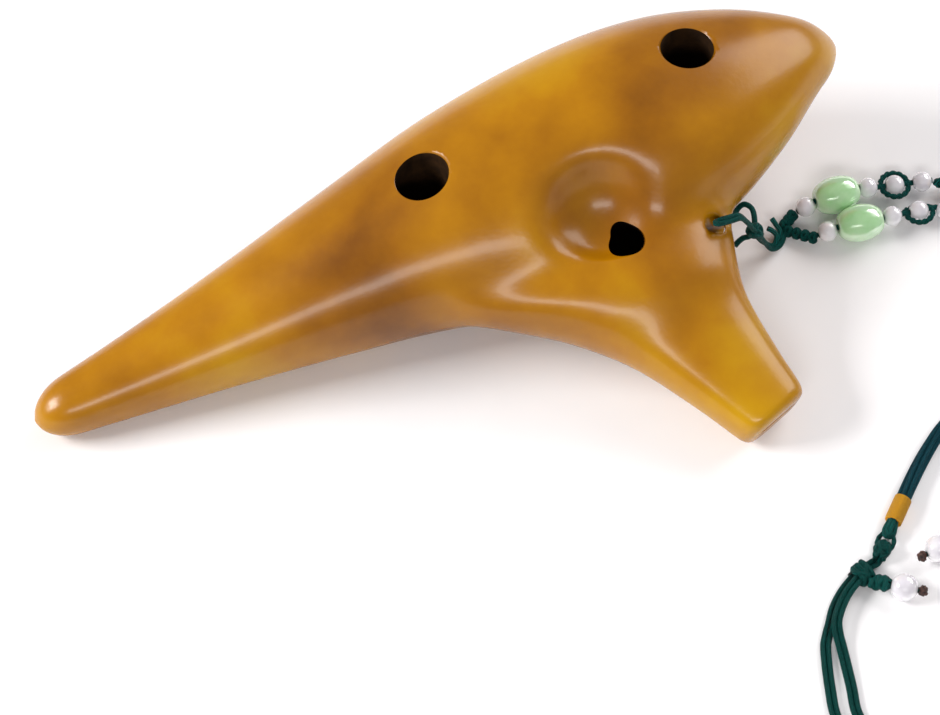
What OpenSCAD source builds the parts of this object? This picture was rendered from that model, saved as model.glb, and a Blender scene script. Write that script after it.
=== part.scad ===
// A twelve-hole transverse ocarina in glazed clay, lying on its finger-hole face,
// with its beaded neck lanyard hitched through the eye beside the mouthpiece.

/* [Body] */
// Length from the tail tip to the beak tip
body_l = 180; // [150:1:220]
// Width across the belly
body_w = 49; // [42:0.5:60]
// Height through the belly
body_h = 42; // [36:0.5:52]
// Thickness of the clay wall
wall = 4.5; // [3.5:0.1:5.5]
// Length of the rounded tip of the tail
tail_round = 7; // [5:0.5:9]
// Length of the rounded tip of the beak
beak_round = 5; // [4:0.5:8]

/* [Mouthpiece] */
// Reach of the mouthpiece from the body's axis to its tip
mouth_reach = 65; // [60:1:78]
// Lean of the mouthpiece towards the beak, in degrees
mouth_lean = 19; // [14:1:24]
// Width of the mouthpiece at its tip
mouth_w = 15.5; // [13:0.5:18]
// Thickness of the mouthpiece at its tip
mouth_t = 12.5; // [10:0.5:14]
// Width of the windway slot
windway_w = 9.5; // [7:0.5:11]
// Height of the windway slot
windway_t = 1.3; // [1:0.1:1.8]

/* [Voicing] */
// Radius of the scooped bowl that leads down to the labium
scoop_r = 13; // [11:0.5:15]
// Width of the sounding window
window_w = 8.5; // [7:0.5:10]
// Length of the sounding window along the airstream
window_l = 6; // [5:0.5:7]

/* [Holes] */
// Diameter of the two thumb holes
thumb_d = 11; // [9:0.5:12.5]
// Diameter of the eight finger holes
finger_d = 8.5; // [7:0.5:10]
// Diameter of the two subholes
subhole_d = 4; // [3:0.5:5]
// Diameter of the lanyard eye
eye_d = 4.6; // [4:0.2:5.4]

/* [Beads] */
// Diameter of the small white beads
bead_d = 4.2; // [3.6:0.1:5]
// Diameter of the jade barrels
barrel_d = 7.8; // [6.6:0.1:8]
// Length of the jade barrels
barrel_l = 9.5; // [8:0.1:11]
// Diameter of the white beads on the cord tails
tail_bead_d = 5.6; // [4.8:0.1:6.4]
// Radial clearance between a bead's bore and its cord
bore_fit = 0.08; // [0.04:0.01:0.1]
// Gap between neighbours on a bead string
bead_gap = 0.2; // [0.15:0.05:0.4]

/* [Cords] */
// Diameter of the thin braided cord
cord_d = 1.2; // [1:0.1:1.4]
// Diameter of the bundled neck cord
neck_d = 3.2; // [2.8:0.1:3.6]
// Length of each gold whipping
whip_l = 6; // [5:0.5:8]
// Thickness of the thread on a whipping
whip_t = 0.25; // [0.2:0.05:0.4]

/* [Hidden] */

$fn = 48;
e = 0.01;

// ---- smooth values along a list of keys [place, value, value, ...] ----
function span(k, x, i = 0) = i >= len(k) - 2 || x < k[i + 1][0] ? i : span(k, x, i + 1);
function slope(k, i, c) =
  let (a = max(i - 1, 0), b = min(i + 1, len(k) - 1))
  (k[b][c] - k[a][c]) / (k[b][0] - k[a][0]);
function keyed(k, x, c) =
  let (
    i = span(k, x),
    h = k[i + 1][0] - k[i][0],
    t = (x - k[i][0]) / h,
    p = k[i][c],
    q = k[i + 1][c],
    u = slope(k, i, c) * h,
    v = slope(k, i + 1, c) * h
  )
  p + t * (u + t * (3 * (q - p) - 2 * u - v + t * (2 * (p - q) + u + v)));
function unit(v) = v / norm(v);
function power(v, n) = sign(v) * pow(abs(v), n);

// ---- body: sections from the tail tip to the beak tip ----
// share of the length, half width away from and towards the mouthpiece, top, bottom
BODY = [
  [0.00, 0.21, 0.20, 0.24, 0.00],
  [0.12, 0.36, 0.34, 0.36, 0.00],
  [0.25, 0.53, 0.50, 0.51, 0.00],
  [0.39, 0.71, 0.72, 0.71, 0.00],
  [0.53, 0.89, 0.98, 0.89, 0.00],
  [0.69, 0.98, 1.04, 1.00, 0.00],
  [0.80, 0.91, 0.94, 1.00, 0.07],
  [0.89, 0.65, 0.67, 0.94, 0.30],
  [0.955, 0.35, 0.36, 0.85, 0.47],
  [1.00, 0.15, 0.15, 0.70, 0.55],
];
stations = 40;
half_turn = 16;
squareness = 2.15;
end_flat = 0.12;
min_cavity = 0.7;
function end_round(x) =
  x < tail_round ? max(end_flat, sqrt(1 - pow(1 - x / tail_round, 2)))
  : x > body_l - beak_round ? max(end_flat, sqrt(1 - pow(1 - (body_l - x) / beak_round, 2)))
  : 1;
function top_z(x) = body_h * keyed(BODY, x / body_l, 3);
function bottom_z(x) = body_h * max(0, keyed(BODY, x / body_l, 4));
function mid_z(x) = (top_z(x) + bottom_z(x)) / 2;
function half_w(x, near) =
  body_w / 2 * keyed(BODY, x / body_l, near ? 2 : 1) * end_round(x);
function half_h(x) = (top_z(x) - bottom_z(x)) / 2 * end_round(x);
function body_point(x, angle, inset) = [
  x,
  max(half_w(x, cos(angle) < 0) - inset, min_cavity) * power(cos(angle), 2 / squareness),
  mid_z(x) + max(half_h(x) - inset, min_cavity) * power(sin(angle), 2 / squareness),
];
// stations crowd towards both ends
function station(i) = body_l * (0.45 * i / stations + 0.55 * (1 - cos(180 * i / stations)) / 2);
function inner_station(i) = wall + station(i) * (body_l - 2 * wall) / body_l;

// closed rings of n points joined one to the next, with flat or listed end caps
function ring_joints(rings, n, flip, turned = -1) = [
  for (i = [0 : rings - 2], j = [0 : n - 1])
    let (a = i * n + j, b = i * n + (j + 1) % n, c = b + n, d = a + n)
    each j == turned ? [[d, c, b], [d, b, a]]
      : flip ? [[a, b, c], [a, c, d]] : [[c, b, a], [d, c, a]]
];
function reversed(v) = [for (i = [len(v) - 1 : -1 : 0]) v[i]];
module loft(rings, flip = false) {
  n = len(rings[0]);
  last = (len(rings) - 1) * n;
  near = [for (j = [0 : n - 1]) j];
  far = [for (j = [n - 1 : -1 : 0]) last + j];
  polyhedron(
    points = [for (r = rings) each r],
    faces = concat(
      ring_joints(len(rings), n, flip),
      [flip ? reversed(near) : near, flip ? reversed(far) : far]
    )
  );
}

// the clay stays thick under the bowl: the cavity keeps clear of the scoop's sphere
function thick(p) =
  let (v = p - scoop_at, d = norm(v), r = scoop_r + pad_t)
  d < r ? scoop_at + v * r / d : p;
// one half of the hollow body; side is 1 for the back and -1 for the front
module half_shell(side) {
  m = half_turn;
  n = 2 * (m + 1);
  from = side > 0 ? 0 : 180;
  rings = [
    for (i = [0 : stations]) concat(
      [for (j = [0 : m]) body_point(station(i), from + 180 * j / m, 0)],
      [for (j = [m : -1 : 0]) thick(body_point(inner_station(i), from + 180 * j / m, wall))]
    )
  ];
  last = stations * n;
  caps = [
    [for (j = [0 : m]) j],
    [for (j = [m + 1 : n - 1]) j],
    [0, m, m + 1, n - 1],
  ];
  far_caps = [for (c = caps) [for (j = reversed(c)) last + j]];
  polyhedron(
    points = [for (r = rings) each r],
    faces = concat(ring_joints(stations + 1, n, false, n - 1), caps, far_caps)
  );
}
module body_block() {
  m = 2 * half_turn;
  loft([
    for (i = [0 : stations])
      [for (j = [0 : m - 1]) body_point(station(i), 180 * j / half_turn, 0)]
  ]);
}

// ---- mouthpiece: sections from its tip back into the body ----
mouth_root_x = 0.62 * body_l;
mouth_root_z = 0.57 * body_h;
mouth_pitch = atan((mouth_root_z - mouth_t / 2) / mouth_reach * cos(mouth_lean));
mouth_tip = [
  mouth_root_x + mouth_reach * tan(mouth_lean),
  -mouth_reach,
  mouth_t / 2 * cos(mouth_pitch) + 0.15,
];
mouth_axis = unit([mouth_root_x, 0, mouth_root_z] - mouth_tip);
mouth_up = cross(unit(cross(mouth_axis, [0, 0, 1])), mouth_axis);
mouth_len = norm([mouth_root_x, 0, mouth_root_z] - mouth_tip);
// share of the length from the tip, growth of the beak side, tail side, top and underside
MOUTH = [
  [0.00, 0.0, 0.0, 0.0, 0.0],
  [0.18, 2.4, 2.8, 0.6, 0.9],
  [0.36, 5.5, 7.0, 2.4, 2.8],
  [0.48, 9.5, 12.5, 5.0, 4.4],
  [0.58, 14.0, 19.0, 7.0, 5.0],
  [0.68, 18.0, 24.0, 8.0, 4.0],
  [1.00, 18.0, 24.0, 4.0, 1.0],
];
mouth_stations = 22;
mouth_points = 32;
mouth_round = 1.6;
function tip_round(d) = d < mouth_round ? 1 - 0.13 * pow(1 - d / mouth_round, 2) : 1;
function mouth_d(i) =
  i < 4 ? mouth_round * i / 3
  : mouth_round + (mouth_len - mouth_round) * (i - 3) / (mouth_stations - 3);
function mouth_ring(d) =
  let (
    s = d / mouth_len,
    beak = (mouth_w / 2 + keyed(MOUTH, s, 1)) * tip_round(d),
    tail = (mouth_w / 2 + keyed(MOUTH, s, 2)) * tip_round(d),
    up = (mouth_t / 2 + keyed(MOUTH, s, 3)) * tip_round(d),
    down = (mouth_t / 2 + keyed(MOUTH, s, 4)) * tip_round(d),
    q = 2 / (3.2 - 0.9 * min(1, s / 0.5)),
    turn = mouth_lean * max(0, 1 - s / 0.55),
    side = [cos(turn), sin(turn), 0]
  )
  [
    for (j = [0 : mouth_points - 1])
      let (a = 360 * j / mouth_points)
      mouth_tip + mouth_axis * d
        + side * power(cos(a), q) * (cos(a) > 0 ? beak : tail)
        + mouth_up * power(sin(a), q) * (sin(a) > 0 ? up : down)
  ];

// the part stands with the middle of its box over the origin
low_y = min([for (i = [0 : 3], p = mouth_ring(mouth_d(i))) p.y]);
high_y = max([for (i = [0 : stations]) half_w(station(i), false)]);
module placed() {
  translate([-body_l / 2, -(low_y + high_y) / 2, 0])
    children();
}
// a frame whose z runs from a to b
module from_to(a, b) {
  d = b - a;
  translate(a)
    rotate([0, acos(d.z / norm(d)), atan2(d.y, d.x)])
      children();
}

// ---- voicing ----
window_at = [mouth_root_x + 7, -0.53 * body_w, 0.585 * body_h];
scoop_at = [mouth_root_x + 3, -0.47 * body_w, 0.585 * body_h + scoop_r];
pad_t = 3.3;
windway_in = mouth_tip - mouth_axis + mouth_up * 0.4;
windway_out = window_at + [0, -1, 0.5];
window_tilt = 38;
window_out = 7;
window_in = 15;
module windway() {
  l = norm(windway_out - windway_in);
  from_to(windway_in, windway_out)
    translate([-windway_t / 2, -windway_w / 2, -e])
      cube([windway_t, windway_w, l]);
}
module window() {
  translate(window_at)
    rotate([window_tilt, 0, mouth_lean - 8])
      translate([-window_w / 2, -window_l / 2, -window_in])
        cube([window_w, window_l, window_in + window_out]);
}
ball_rings = 14;
ball_sides = 28;
ball_pole = 88;
module scoop() {
  translate(scoop_at)
    loft([
      for (i = [0 : ball_rings])
        let (a = ball_pole * (2 * i / ball_rings - 1))
        [
          for (j = [0 : ball_sides - 1])
            let (b = 360 * j / ball_sides)
            scoop_r * [cos(a) * cos(b), cos(a) * sin(b), sin(a)]
        ]
    ]);
}

// ---- holes ----
// [share of the length, y] of the finger holes, from the beak side to the tail side
FINGERS = [
  [0.850, -3], [0.790, 3.5], [0.725, 5], [0.655, 1],
  [0.545, 1], [0.475, 4.5], [0.405, 3], [0.335, -1.5],
];
SUBHOLES = [[0.745, -6.5], [0.455, -4.5]];
THUMBS = [[0.48, 2.5], [0.815, 3.5]];
module finger_holes() {
  for (f = FINGERS)
    translate([f[0] * body_l, f[1], -e])
      cylinder(d = finger_d, h = mid_z(f[0] * body_l));
  for (f = SUBHOLES)
    translate([f[0] * body_l, f[1], -e])
      cylinder(d = subhole_d, h = mid_z(f[0] * body_l));
}
module thumb_holes() {
  for (t = THUMBS)
    translate([t[0] * body_l, t[1], mid_z(t[0] * body_l)])
      cylinder(d = thumb_d, h = body_h);
}
eye_top = [mouth_root_x + 26.5, -0.56 * body_w, 0.62 * body_h];
eye_side = eye_top + [9.5, 3.5, -13.5];
module eye() {
  d = unit(eye_side - eye_top);
  from_to(eye_top - 8 * d, eye_side + 10 * d)
    cylinder(d = eye_d, h = norm(eye_side - eye_top) + 18);
}

module back_shell() {
  color("darkgoldenrod")
    placed()
      difference() {
        half_shell(1);
        thumb_holes();
        scoop();
        window();
        windway();
        eye();
      }
}
module front_shell() {
  color("darkgoldenrod")
    placed()
      difference() {
        half_shell(-1);
        finger_holes();
        window();
        eye();
      }
}
module mouthpiece() {
  color("goldenrod")
    placed()
      difference() {
        loft([for (i = [0 : mouth_stations]) mouth_ring(mouth_d(i))], true);
        body_block();
        scoop();
        window();
        windway();
        eye();
      }
}

// ---- cords: tubes swept along a route, one ring at each of its points ----
tube_sides = 8;
function heading_at(r, i) = unit(r[min(i + 1, len(r) - 1)] - r[max(i - 1, 0)]);
function tube_ring(p, d, w, h) =
  let (side = unit(cross(d, [0, 0, 1])), up = cross(side, d))
  [
    for (j = [0 : tube_sides - 1])
      p + side * w / 2 * cos(360 * j / tube_sides) + up * h / 2 * sin(360 * j / tube_sides)
  ];
module tube(route, w, h) {
  loft([for (i = [0 : len(route) - 1]) tube_ring(route[i], heading_at(route, i), w, h)], true);
}
module closed_tube(route, d) {
  n = len(route);
  rings = [
    for (i = [0 : n - 1])
      tube_ring(route[i], unit(route[(i + 1) % n] - route[(i + n - 1) % n]), d, d)
  ];
  m = tube_sides;
  polyhedron(
    points = [for (r = rings) each r],
    faces = [
      for (i = [0 : n - 1], j = [0 : m - 1])
        let (a = i * m + j, b = i * m + (j + 1) % m, c = ((i + 1) % n) * m + (j + 1) % m)
        each [[a, b, c], [a, c, ((i + 1) % n) * m + j]]
    ]
  );
}
// the lanyard's places count from the plan of the eye
eye_plan = [eye_top.x, eye_top.y, 0];
module on_table() {
  placed()
    translate(eye_plan)
      children();
}

// ---- hitch through the eye ----
eye_dir = unit(eye_side - eye_top);
top_of_eye = [0, 0, eye_top.z];
HITCH_CORD = [
  top_of_eye + 6 * eye_dir,
  top_of_eye + [0.4, 0.1, 1.2],
  top_of_eye + [3, 0.7, 2.6],
  top_of_eye + [6, 1.5, 1],
  top_of_eye + [8.7, 2.8, -3],
  [11, 4.2, 15],
  [12.4, 5, 8.5],
  [13.6, 4.6, 3.6],
  [15.4, 3.2, 1.6],
  [17.6, 3.8, 1.2],
  [19.8, 5.4, 1.3],
];
side_of_eye = top_of_eye + eye_side - eye_top;
HITCH_LOOP = [
  side_of_eye + [-3, -0.2, 3.6],
  side_of_eye + [0.2, 2.4, 0.8],
  [12.2, 7.4, 12.4],
  [14, 6.4, 10.4],
  [13.2, 4.6, 9.6],
  [11, 2.8, 9.4],
  [8.6, 1.4, 9.8],
  side_of_eye + [-2.4, -1.6, -0.4],
];
pair_d = 1.8 * cord_d;
module hitch_cord() {
  color("darkslategray")
    on_table()
      tube(HITCH_CORD, pair_d, cord_d);
}
module hitch_loop() {
  color("darkslategray")
    on_table()
      tube(HITCH_LOOP, cord_d, cord_d);
}

// ---- bead strings: [length, heading, climb] of each stretch, straight inside a bead ----
snake_d = 2.2;
ring_t = 1.3;
ring_run = bead_d + 2 * ring_t + 3.5 * bead_gap;
bead_run = bead_d + bead_gap;
barrel_run = barrel_l + bead_gap;
end_braid_l = 3;
braid_gap = 0.7;
string_rise = asin((barrel_d / 2 + 0.05 - 2.6) / bead_run);
A_FROM = [23.7, 7.1, 2.6];
A_STEPS = [
  [bead_run, 0, string_rise],
  [barrel_run, -6, 0],
  [bead_run, -12, -14],
  [ring_run, -14, -5],
  [bead_run, -16, -1],
  [end_braid_l, -45, -3],
  [whip_l, -50, 0],
];
B_FROM = [25.1, 0.05, 2.6];
B_STEPS = [
  [bead_run, -10, string_rise],
  [barrel_run, -12, 0],
  [bead_run, -6, -8],
  [ring_run, -10, -4],
  [bead_run, -40, -9],
  [end_braid_l, -40, -5],
  [whip_l, -30, 0],
];
function heading(h, c) = [cos(c) * cos(h), cos(c) * sin(h), sin(c)];
function walk(p, steps, i = 0) =
  i == len(steps) ? [p]
  : concat([p], walk(p + steps[i][0] * heading(steps[i][1], steps[i][2]), steps, i + 1));
A = walk(A_FROM, A_STEPS);
B = walk(B_FROM, B_STEPS);
bore_d = cord_d + 2 * bore_fit;

module bead_string(p) {
  color("darkslategray")
    on_table()
      tube([for (i = [0 : 5]) p[i]], cord_d, cord_d);
}
module white_bead(p, i) {
  color("white")
    on_table()
      from_to((p[i] + p[i + 1]) / 2, p[i + 1])
        difference() {
          sphere(d = bead_d);
          cylinder(d = bore_d, h = 2 * bead_d, center = true);
        }
}
module jade_barrel(p) {
  end_d = 0.42 * barrel_d;
  color("palegreen")
    on_table()
      from_to((p[1] + p[2]) / 2, p[2])
        rotate_extrude()
          polygon(concat(
            [[bore_d / 2, -barrel_l / 2]],
            [
              for (k = [-6 : 6])
                let (t = k / 6)
                [end_d / 2 + (barrel_d - end_d) / 2 * sqrt(1 - t * t), t * barrel_l / 2]
            ],
            [[bore_d / 2, barrel_l / 2]]
          ));
}
module cord_ring(p, far, drop) {
  mid = (p[3] + p[4]) / 2;
  r = (bead_d + ring_t) / 2 + bead_gap;
  d = unit(p[4] - p[3]);
  s = [-d.y, d.x, 0];
  color("darkslategray")
    on_table()
      closed_tube(
        [
          for (a = [0 : 24 : 359])
            mid + d * r * cos(a) + s * (sin(a) > 0 ? far : r) * sin(a)
              - [0, 0, drop * max(0, sin(a))]
        ],
        ring_t
      );
}
module knot_row(a, p, heading_b, n) {
  b = p[0] - heading(heading_b, string_rise) * snake_d / 2;
  color("darkslategray")
    on_table()
      for (k = [0 : n - 1])
        translate(a + (b - a) * k / (n - 1))
          sphere(d = snake_d);
}
module whipping(a, b) {
  color("goldenrod")
    on_table()
      from_to(a, b)
        cylinder(d = neck_d + 2 * whip_t, h = norm(b - a));
}

// ---- neck cords, each wound into a coil on its way to the clasp ----
coil_r = 17;
coil_b = [74, -30.5];
coil_a = [76, -72.5];
low = neck_d / 2;
high = 1.5 * neck_d;
NECK_A1 = [
  A[7], A[7] + [4, -3, -0.2], [68, -6.5, low], [76, -7, low], [84, -8.5, low],
  [91, -13, low], [95.5, -20, low], [96.5, -28, low], [96.5, -36, low],
  [96, -44, low], [94.5, -52, low], [93.5, -60, low], [93, -66.5, low], [93, -72.5, low],
];
A2_WHIP = [[35, -79.2, low + whip_t], [39.2, -83.5, low + whip_t]];
NECK_A2 = [
  [76, -89.5, high], [69, -89.8, high - 0.3], [62, -90, high - 1.4], [55, -90, low + 0.6],
  [48.5, -88.6, low], A2_WHIP[1],
];
NECK_B1 = [B[7], B[7] + [4, -1.8, -0.2], [69, -13.4, low], [74, -13.5, low]];
B2_WHIP = [[11.5, -62.9, low + whip_t], [7.2, -66.6, low + whip_t]];
NECK_B2 = [
  [74, -47.5, high], [67, -47.8, high - 0.3], [60, -47.8, high - 1.4], [53, -47.5, low + 0.6],
  [46, -47.4, low], [39, -48, low], [32.5, -49.5, low], [26, -52, low], [20.4, -55.6, low],
  [15.3, -59.6, low], B2_WHIP[0],
];
module neck_coil(centre) {
  color("darkslategray")
    on_table()
      translate(centre)
        rotate_extrude()
          translate([coil_r - neck_d / 2, 0])
            square([neck_d, 2 * neck_d]);
}
module neck_cord(route) {
  color("darkslategray")
    on_table()
      tube(route, neck_d, neck_d);
}

// ---- clasp: each end's link is tied round the other end's pair of cords and slides on it ----
fold_l = 2.4;
button_d = 3.4;
B_FOLD = [B2_WHIP[1], B2_WHIP[1] + fold_l * unit([-0.62, -0.6, 0])];
A_FOLD = [A2_WHIP[0], A2_WHIP[0] + fold_l * unit([-0.7, 0.72, 0])];
B_BUTTON = [2.2, -71.4, button_d / 2];
A_BUTTON = [30.6, -74.4, button_d / 2];
// a round stem of radius r and length l with a rounded tip beyond it
tip_steps = 5;
module stem(r, l) {
  rotate_extrude()
    polygon(concat(
      [[0, 0], [r, 0]],
      [for (k = [0 : tip_steps - 1]) [r * cos(90 * k / tip_steps), l + r * sin(90 * k / tip_steps)]],
      [[0, l + r]]
    ));
}
module folded_end(f) {
  color("darkslategray")
    on_table()
      from_to(f[0], f[1])
        stem((neck_d - 0.2) / 2, norm(f[1] - f[0]));
}
module link_loop(from, to) {
  mid = (from + to) / 2;
  color("darkslategray")
    on_table()
      translate([mid.x, mid.y, 1.2])
        rotate_extrude()
          translate([norm([from.x - to.x, from.y - to.y]) / 2, 0])
            circle(d = 1);
}
module button_knot(at) {
  color("darkslategray")
    on_table()
      translate(at)
        sphere(d = button_d);
}

// both pairs run side by side from knot b, round by the bottom, to knot a
arc_b = [1.9, -93.1];
arc_b_r = 19.7;
arc_a = [-0.1, -77.1];
arc_a_r = 22;
knot_b_at = 107;
knot_a_at = 0;
half_knot = 6;
function on_arc(c, r, a) = [c.x + r * cos(a), c.y + r * sin(a), 0];
RUN = concat(
  [for (a = [knot_b_at - half_knot - 4 : 8 : 163]) on_arc(arc_b, arc_b_r, a)],
  [
    [-18.9, -94.5, 0], [-19.6, -101, 0], [-18, -107.5, 0], [-13.5, -113.5, 0], [-6.5, -117, 0],
    [1.5, -116.5, 0], [8, -112, 0], [12.2, -105.5, 0], [15, -98.5, 0],
  ],
  [for (a = [-38 : 8 : knot_a_at + half_knot + 4]) on_arc(arc_a, arc_a_r, a)]
);
function beside(r, i) = let (d = heading_at(r, i)) [d.y, -d.x, 0];
run_end = len(RUN) - 1;
// the pairs ride one on the other inside the knots' travel and lie flat, apart, between
function spread(i) = let (t = min(i, run_end - i)) t < 7 ? 0 : t < 9 ? (t - 6) / 3 : 1;
cord_r = cord_d / 2;
lift = 0.35;
function pair_point(i, outer) =
  let (climb = outer ? lift : cord_d + lift + 0.1)
  RUN[i] + beside(RUN, i) * (outer ? 1 : -1) * (0.6 + 1.5 * spread(i))
    + [0, 0, cord_r + climb * (1 - spread(i))];
LINK_B = concat(
  [B_BUTTON + [-0.4, -0.4, -0.6], B_BUTTON + [-2.2, -1.5, -0.9]],
  [for (i = [0 : run_end - 1]) pair_point(i, true)]
);
LINK_A = concat(
  [for (i = [1 : run_end]) pair_point(i, false)],
  [
    A_BUTTON + [-8.3, 3.8, 0.3], A_BUTTON + [-5.4, 4.8, 0], A_BUTTON + [-2.3, 3.2, 0],
    A_BUTTON + [-0.6, 0.7, 0],
  ]
);
module link_cord(route) {
  color("darkslategray")
    on_table()
      tube(route, pair_d, cord_d);
}
knot_w = 5;
knot_h = 3.4;
knot_wall = 0.3;
module sliding_knot(centre, r, at) {
  color("darkslategray")
    on_table()
      translate(centre)
        rotate([0, 0, at - half_knot])
          rotate_extrude(angle = 2 * half_knot)
            difference() {
              translate([r - knot_w / 2, 0])
                square([knot_w, knot_h]);
              translate([r - knot_w / 2 + knot_wall, knot_wall])
                square([knot_w - 2 * knot_wall, 2 * cord_d + 0.5]);
            }
}
tail_z = tail_bead_d / 2;
// where each knot's tail starts, the middle of its bead, and the tail's heading there
A_TAIL = [[19.5, -76.8, 1.8], [12.2, -76.4, tail_z], 182];
B_TAIL = [[-2.95, -76.8, 1.8], [1.9, -81.3, tail_z], -38];
burnt_d = 2;
tail_braid_d = 2.8;
module tail_braid(t) {
  d = heading(t[2], 0);
  shoulder = t[1] - d * (tail_bead_d + tail_braid_d + 0.4) / 2;
  color("darkslategray")
    on_table() {
      from_to(t[0], shoulder)
        stem(tail_braid_d / 2, norm(shoulder - t[0]));
      from_to(shoulder, t[1])
        cylinder(d = cord_d, h = norm(t[1] - shoulder) + tail_bead_d / 2 + 0.6);
    }
}
module tail_bead(t) {
  color("white")
    on_table()
      from_to(t[1], t[1] + heading(t[2], 0))
        difference() {
          sphere(d = tail_bead_d);
          cylinder(d = bore_d, h = 2 * tail_bead_d, center = true);
        }
}
module burnt_knot(t) {
  color("saddlebrown")
    on_table()
      translate(t[1] + heading(t[2], 0) * (tail_bead_d / 2 + 0.1 + burnt_d / 2))
        sphere(d = burnt_d);
}

module end_braid(p) {
  color("darkslategray")
    on_table()
      from_to(p[6], p[5])
        cylinder(d = snake_d, h = end_braid_l - braid_gap);
}

back_shell();
front_shell();
mouthpiece();
hitch_cord();
hitch_loop();
knot_row([20.5, 6.2, 1.4], A, 0, 4);  // snake_knots_a
knot_row([20.4, 4.3, 1.4], B, -10, 4);  // snake_knots_b
bead_string(A);  // bead_string_a
white_bead(A, 0);  // white_bead_a1
jade_barrel(A);  // jade_barrel_a
white_bead(A, 2);  // white_bead_a2
white_bead(A, 3);  // white_bead_a3
cord_ring(A, (bead_d + ring_t) / 2 + bead_gap, 0);  // cord_ring_a
white_bead(A, 4);  // white_bead_a4
end_braid(A);  // end_braid_a
bead_string(B);  // bead_string_b
white_bead(B, 0);  // white_bead_b1
jade_barrel(B);  // jade_barrel_b
white_bead(B, 2);  // white_bead_b2
white_bead(B, 3);  // white_bead_b3
cord_ring(B, 2.3, 2.2);  // cord_ring_b
white_bead(B, 4);  // white_bead_b4
end_braid(B);  // end_braid_b
whipping(A[6], A[7]);  // whipping_a1
neck_cord(NECK_A1);  // neck_cord_a1
neck_coil(coil_a);  // neck_coil_a
neck_cord(NECK_A2);  // neck_cord_a2
whipping(A2_WHIP[0], A2_WHIP[1]);  // whipping_a2
whipping(B[6], B[7]);  // whipping_b1
neck_cord(NECK_B1);  // neck_cord_b1
neck_coil(coil_b);  // neck_coil_b
neck_cord(NECK_B2);  // neck_cord_b2
whipping(B2_WHIP[0], B2_WHIP[1]);  // whipping_b2
folded_end(A_FOLD);  // folded_end_a
folded_end(B_FOLD);  // folded_end_b
link_loop(A_FOLD[1], A_BUTTON);  // link_loop_a
link_loop(B_FOLD[1], B_BUTTON);  // link_loop_b
button_knot(A_BUTTON);  // button_knot_a
button_knot(B_BUTTON);  // button_knot_b
link_cord(LINK_A);  // link_cord_a
link_cord(LINK_B);  // link_cord_b
sliding_knot(arc_a, arc_a_r, knot_a_at);  // sliding_knot_a
tail_braid(A_TAIL);  // tail_braid_a
tail_bead(A_TAIL);  // tail_bead_a
burnt_knot(A_TAIL);  // burnt_knot_a
sliding_knot(arc_b, arc_b_r, knot_b_at);  // sliding_knot_b
tail_braid(B_TAIL);  // tail_braid_b
tail_bead(B_TAIL);  // tail_bead_b
burnt_knot(B_TAIL);  // burnt_knot_b
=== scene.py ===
# %% [markdown]
# A twelve-hole ocarina in amber glazed clay with a beaded neck lanyard.
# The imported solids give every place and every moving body. This lesson dresses them:
# the fired clay becomes one glazed skin, and the lanyard becomes real strands and knots.

# %% The frame
import math
import random
import bmesh
import bpy
from mathutils import Matrix, Vector


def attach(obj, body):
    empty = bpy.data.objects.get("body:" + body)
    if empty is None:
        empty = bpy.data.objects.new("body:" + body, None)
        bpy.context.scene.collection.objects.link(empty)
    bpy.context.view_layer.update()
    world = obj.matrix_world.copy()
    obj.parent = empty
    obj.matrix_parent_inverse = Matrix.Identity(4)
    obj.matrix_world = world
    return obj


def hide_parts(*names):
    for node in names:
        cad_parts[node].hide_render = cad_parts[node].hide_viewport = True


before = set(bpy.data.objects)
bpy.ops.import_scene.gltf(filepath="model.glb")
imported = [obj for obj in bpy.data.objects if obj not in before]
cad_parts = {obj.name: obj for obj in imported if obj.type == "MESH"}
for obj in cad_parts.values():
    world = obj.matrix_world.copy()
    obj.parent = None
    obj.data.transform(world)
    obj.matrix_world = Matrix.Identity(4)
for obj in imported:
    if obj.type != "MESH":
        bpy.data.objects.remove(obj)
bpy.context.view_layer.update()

random.seed(7)
MM = 0.001
ROOT = "ocarina_and_lanyard"
DRESSED = "_dressed"
BODY_AT = Vector((-90.0, 21.9159, 0.0))
EYE_AT = Vector((48.1, -5.5241, 0.0))


def mm(p, origin=EYE_AT):
    """A place in millimetres from the plan of the lanyard's eye, as metres in the frame."""
    return (Vector(p) + origin) * MM


# %% [markdown]
# The camera comes first, because it decides how much cord may lie out of its sight.
# It stands well back with a long lens, as for a product picture, and looks down at 58 degrees.

# %% The camera
camera = bpy.data.objects.new("camera", bpy.data.cameras.new("camera"))
bpy.context.collection.objects.link(camera)
camera.data.sensor_width = 36
camera.data.lens = 187.85
turn, rise = math.radians(-25.573), math.radians(58)
back = Vector((math.sin(turn) * math.cos(rise), -math.cos(turn) * math.cos(rise), math.sin(rise)))
right = Vector((math.cos(turn), math.sin(turn), 0))
up = back.cross(right)
AIM, AWAY = Vector((0, 0.0069, 0.015)), 1.0
LOOK_LEFT, LOOK_DOWN = 0.00108053, 0.0143527
camera.location = AIM + back * AWAY
look = -right * LOOK_LEFT - up * LOOK_DOWN - back
side = look.cross(up).normalized()
top = side.cross(look).normalized()
turned = Matrix((side, top, -look.normalized())).transposed().to_4x4()
camera.matrix_world = Matrix.Translation(camera.location) @ turned
camera.data.clip_start, camera.data.clip_end = 0.05, 20
bpy.context.scene.camera = camera
print("camera at", [round(v, 3) for v in camera.location])

# %% [markdown]
# One small function adds a shader node, sets its sockets and links its inputs.
# Colours are written as the sRGB hex values a painter would pick, and turned to linear once.

# %% Shader helpers
def linear(hex_colour):
    """An sRGB hex colour as linear red, green, blue, alpha."""
    parts = [int(hex_colour[i : i + 2], 16) / 255 for i in (0, 2, 4)]
    return [c / 12.92 if c <= 0.04045 else ((c + 0.055) / 1.055) ** 2.4 for c in parts] + [1.0]


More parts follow.
